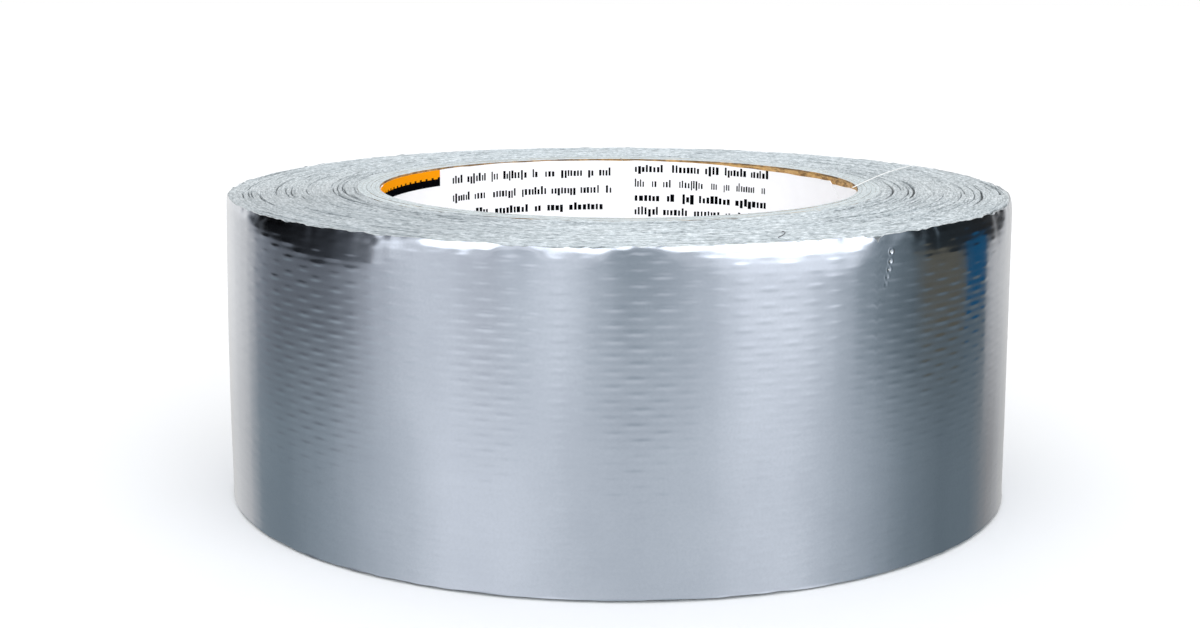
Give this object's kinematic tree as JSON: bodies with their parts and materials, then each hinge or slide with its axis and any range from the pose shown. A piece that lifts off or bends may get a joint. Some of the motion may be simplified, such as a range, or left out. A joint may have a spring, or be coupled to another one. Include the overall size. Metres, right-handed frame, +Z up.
{
  "type": "duct tape roll",
  "caption": "Roll of silver-grey cloth tape wound on a paperboard core, with a free end that peels off and straightens.",
  "frame": {"origin": "centre of the roll's lower end, on the axis of the core", "axes": "+Z up along the roll's axis, +X to the right, +Y away from the front; seen from above the tape is wound counter-clockwise outwards, and its cut end is 60 degrees counter-clockwise from +X"},
  "size_m": [0.1245, 0.1243, 0.048],
  "materials": {
    "tape_film": "satin metallic-grey polyethylene film",
    "tape_scrim": "open plain-weave cotton and polyester scrim",
    "tape_adhesive": "tacky grey natural-rubber adhesive",
    "liner_paper": "smooth white coated paper",
    "core_kraft": "brown kraft paperboard"
  },
  "bodies": {
    "roll": {"core_liner": "liner_paper", "core_ply_1": "core_kraft", "core_ply_2": "core_kraft", "core_ply_3": "core_kraft", "core_ply_4": "core_kraft", "core_ply_5": "core_kraft", "wound_tape": "tape_film", "outer_turn_film": "tape_film", "outer_turn_scrim": "tape_scrim", "outer_turn_adhesive": "tape_adhesive"},
    "leader_01": {"leader_film_01": "tape_film", "leader_scrim_01": "tape_scrim", "leader_adhesive_01": "tape_adhesive"},
    "leader_02": {"leader_film_02": "tape_film", "leader_scrim_02": "tape_scrim", "leader_adhesive_02": "tape_adhesive"},
    "leader_03": {"leader_film_03": "tape_film", "leader_scrim_03": "tape_scrim", "leader_adhesive_03": "tape_adhesive"},
    "leader_04": {"leader_film_04": "tape_film", "leader_scrim_04": "tape_scrim", "leader_adhesive_04": "tape_adhesive"},
    "leader_05": {"leader_film_05": "tape_film", "leader_scrim_05": "tape_scrim", "leader_adhesive_05": "tape_adhesive"},
    "leader_06": {"leader_film_06": "tape_film", "leader_scrim_06": "tape_scrim", "leader_adhesive_06": "tape_adhesive"},
    "leader_07": {"leader_film_07": "tape_film", "leader_scrim_07": "tape_scrim", "leader_adhesive_07": "tape_adhesive"},
    "leader_08": {"leader_film_08": "tape_film", "leader_scrim_08": "tape_scrim", "leader_adhesive_08": "tape_adhesive"},
    "leader_09": {"leader_film_09": "tape_film", "leader_scrim_09": "tape_scrim", "leader_adhesive_09": "tape_adhesive"},
    "leader_10": {"leader_film_10": "tape_film", "leader_scrim_10": "tape_scrim", "leader_adhesive_10": "tape_adhesive"}
  },
  "joints": [
    {"name": "tape_peel", "type": "hinge", "parent": "roll", "child": "leader_01", "pos_m": [0.05392, -0.03113, 0.024], "axis": [0, 0, -1], "range_deg": [0, 150]},
    {"name": "tape_straighten_02", "type": "hinge", "parent": "leader_01", "child": "leader_02", "pos_m": [0.05813, -0.02231, 0.024], "axis": [0, 0, -1], "range_deg": [0, 9]},
    {"name": "tape_straighten_03", "type": "hinge", "parent": "leader_02", "child": "leader_03", "pos_m": [0.06091, -0.01295, 0.024], "axis": [0, 0, -1], "range_deg": [0, 9]},
    {"name": "tape_straighten_04", "type": "hinge", "parent": "leader_03", "child": "leader_04", "pos_m": [0.06218, -0.00326, 0.024], "axis": [0, 0, -1], "range_deg": [0, 9]},
    {"name": "tape_straighten_05", "type": "hinge", "parent": "leader_04", "child": "leader_05", "pos_m": [0.06193, 0.00651, 0.024], "axis": [0, 0, -1], "range_deg": [0, 9]},
    {"name": "tape_straighten_06", "type": "hinge", "parent": "leader_05", "child": "leader_06", "pos_m": [0.06016, 0.01612, 0.024], "axis": [0, 0, -1], "range_deg": [0, 9]},
    {"name": "tape_straighten_07", "type": "hinge", "parent": "leader_06", "child": "leader_07", "pos_m": [0.0569, 0.02533, 0.024], "axis": [0, 0, -1], "range_deg": [0, 9]},
    {"name": "tape_straighten_08", "type": "hinge", "parent": "leader_07", "child": "leader_08", "pos_m": [0.05224, 0.03392, 0.024], "axis": [0, 0, -1], "range_deg": [0, 9]},
    {"name": "tape_straighten_09", "type": "hinge", "parent": "leader_08", "child": "leader_09", "pos_m": [0.04629, 0.04168, 0.024], "axis": [0, 0, -1], "range_deg": [0, 9]},
    {"name": "tape_straighten_10", "type": "hinge", "parent": "leader_09", "child": "leader_10", "pos_m": [0.0392, 0.04841, 0.024], "axis": [0, 0, -1], "range_deg": [0, 9]}
  ],
  "couplings": [
    {"joint": "tape_straighten_03", "follows": "tape_straighten_02", "ratio": 1},
    {"joint": "tape_straighten_04", "follows": "tape_straighten_02", "ratio": 1},
    {"joint": "tape_straighten_05", "follows": "tape_straighten_02", "ratio": 1},
    {"joint": "tape_straighten_06", "follows": "tape_straighten_02", "ratio": 1},
    {"joint": "tape_straighten_07", "follows": "tape_straighten_02", "ratio": 1},
    {"joint": "tape_straighten_08", "follows": "tape_straighten_02", "ratio": 1},
    {"joint": "tape_straighten_09", "follows": "tape_straighten_02", "ratio": 1},
    {"joint": "tape_straighten_10", "follows": "tape_straighten_02", "ratio": 1}
  ]
}
